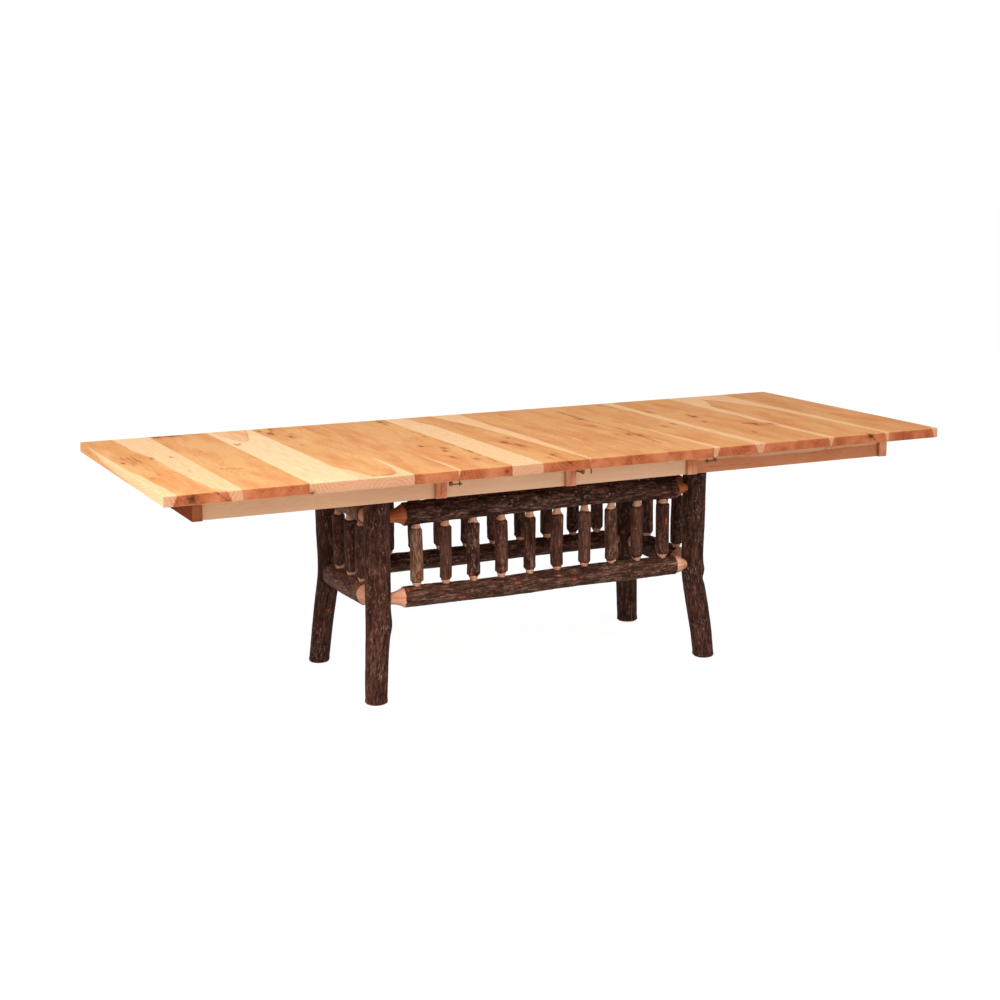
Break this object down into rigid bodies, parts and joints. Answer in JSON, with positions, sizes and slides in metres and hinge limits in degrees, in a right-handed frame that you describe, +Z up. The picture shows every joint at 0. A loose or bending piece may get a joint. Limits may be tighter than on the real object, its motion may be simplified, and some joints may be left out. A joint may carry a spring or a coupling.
{
  "type": "rustic hickory extension dining table",
  "caption": "Long plank-topped dining table on a base of bark-covered hickory logs; its top slides open on runners to take loose leaves.",
  "frame": {"origin": "on the floor under the middle of the top", "axes": "+Z up, +X along the length of the top to the right in the picture, +Y across the top, away from the viewer"},
  "size_m": [2.7432, 1.0668, 0.792],
  "materials": {
    "plank_hickory": "satin lacquer",
    "apron_hickory": "satin lacquer",
    "bark_hickory": "bark left on, peeled ends, satin lacquer",
    "runner_wood": "planed and waxed",
    "cast_iron": "as cast",
    "zinc_steel": "zinc plated",
    "dark_steel": "dark bronze paint"
  },
  "bodies": {
    "base": {"leg_front_left": "bark_hickory", "leg_front_right": "bark_hickory", "leg_back_left": "bark_hickory", "leg_back_right": "bark_hickory", "upper_rail_front": "bark_hickory", "upper_rail_back": "bark_hickory", "upper_rail_left": "bark_hickory", "upper_rail_right": "bark_hickory", "lower_rail_front": "bark_hickory", "lower_rail_back": "bark_hickory", "lower_rail_left": "bark_hickory", "lower_rail_right": "bark_hickory", "spindles_front": "bark_hickory", "spindles_back": "bark_hickory", "spindles_left": "bark_hickory", "spindles_right": "bark_hickory", "leg_cleat_left": "runner_wood", "leg_cleat_right": "runner_wood", "leg_cleat_screws": "zinc_steel", "fixed_runner_front": "runner_wood", "fixed_runner_back": "runner_wood", "gear_bearer": "runner_wood", "pinion_bolt": "zinc_steel"},
    "left_top": {"left_top_boards": "plank_hickory", "left_end_rail": "apron_hickory", "left_apron_front": "apron_hickory", "left_apron_back": "apron_hickory", "left_seam_blocks": "apron_hickory", "left_slide_front": "runner_wood", "left_slide_back": "runner_wood", "left_rack": "runner_wood", "left_hook_screws": "dark_steel"},
    "right_top": {"right_top_boards": "plank_hickory", "right_end_rail": "apron_hickory", "right_apron_front": "apron_hickory", "right_apron_back": "apron_hickory", "right_seam_blocks": "apron_hickory", "right_slide_front": "runner_wood", "right_slide_back": "runner_wood", "right_rack": "runner_wood", "right_hook_screws": "dark_steel"},
    "left_leaf": {"left_leaf_boards": "plank_hickory", "left_leaf_apron_front": "apron_hickory", "left_leaf_apron_back": "apron_hickory", "left_leaf_seam_blocks": "apron_hickory", "left_leaf_hook_screws": "dark_steel", "left_leaf_hook_posts": "dark_steel"},
    "right_leaf": {"right_leaf_boards": "plank_hickory", "right_leaf_apron_front": "apron_hickory", "right_leaf_apron_back": "apron_hickory", "right_leaf_seam_blocks": "apron_hickory", "right_leaf_hook_posts": "dark_steel"},
    "pinion": {"pinion": "cast_iron"},
    "hook_left_front": {"hook_left_front": "dark_steel"},
    "hook_left_back": {"hook_left_back": "dark_steel"},
    "hook_middle_front": {"hook_middle_front": "dark_steel"},
    "hook_middle_back": {"hook_middle_back": "dark_steel"},
    "hook_right_front": {"hook_right_front": "dark_steel"},
    "hook_right_back": {"hook_right_back": "dark_steel"}
  },
  "joints": [
    {"name": "left_top_slide", "type": "slide", "parent": "base", "child": "left_top", "axis": [-1, 0, 0], "range_m": [0, 0.05]},
    {"name": "right_top_slide", "type": "slide", "parent": "base", "child": "right_top", "axis": [1, 0, 0], "range_m": [0, 0.05]},
    {"name": "pinion_turn", "type": "hinge", "parent": "base", "child": "pinion", "pos_m": [-0.014, 0.007, 0.722], "axis": [0, 0, -1], "range_deg": [0, 80]},
    {"name": "left_leaf_lift", "type": "slide", "parent": "left_top", "child": "left_leaf", "axis": [0, 0, 1], "range_m": [0, 0.3]},
    {"name": "right_leaf_lift", "type": "slide", "parent": "right_top", "child": "right_leaf", "axis": [0, 0, 1], "range_m": [0, 0.3]},
    {"name": "hook_left_front_swing", "type": "hinge", "parent": "left_top", "child": "hook_left_front", "pos_m": [-0.4742, -0.513, 0.7455], "axis": [0, 0, 1], "range_deg": [0, 90]},
    {"name": "hook_left_back_swing", "type": "hinge", "parent": "left_top", "child": "hook_left_back", "pos_m": [-0.4742, 0.513, 0.7455], "axis": [0, 0, -1], "range_deg": [0, 90]},
    {"name": "hook_middle_front_swing", "type": "hinge", "parent": "left_leaf", "child": "hook_middle_front", "pos_m": [-0.017, -0.513, 0.7455], "axis": [0, 0, 1], "range_deg": [-90, 0]},
    {"name": "hook_middle_back_swing", "type": "hinge", "parent": "left_leaf", "child": "hook_middle_back", "pos_m": [-0.017, 0.513, 0.7455], "axis": [0, 0, -1], "range_deg": [-90, 0]},
    {"name": "hook_right_front_swing", "type": "hinge", "parent": "right_top", "child": "hook_right_front", "pos_m": [0.4742, -0.513, 0.7455], "axis": [0, 0, -1], "range_deg": [0, 90]},
    {"name": "hook_right_back_swing", "type": "hinge", "parent": "right_top", "child": "hook_right_back", "pos_m": [0.4742, 0.513, 0.7455], "axis": [0, 0, 1], "range_deg": [0, 90]}
  ],
  "couplings": [
    {"joint": "right_top_slide", "follows": "left_top_slide", "ratio": 1},
    {"joint": "pinion_turn", "follows": "left_top_slide", "rad_per_m": 27.778}
  ]
}
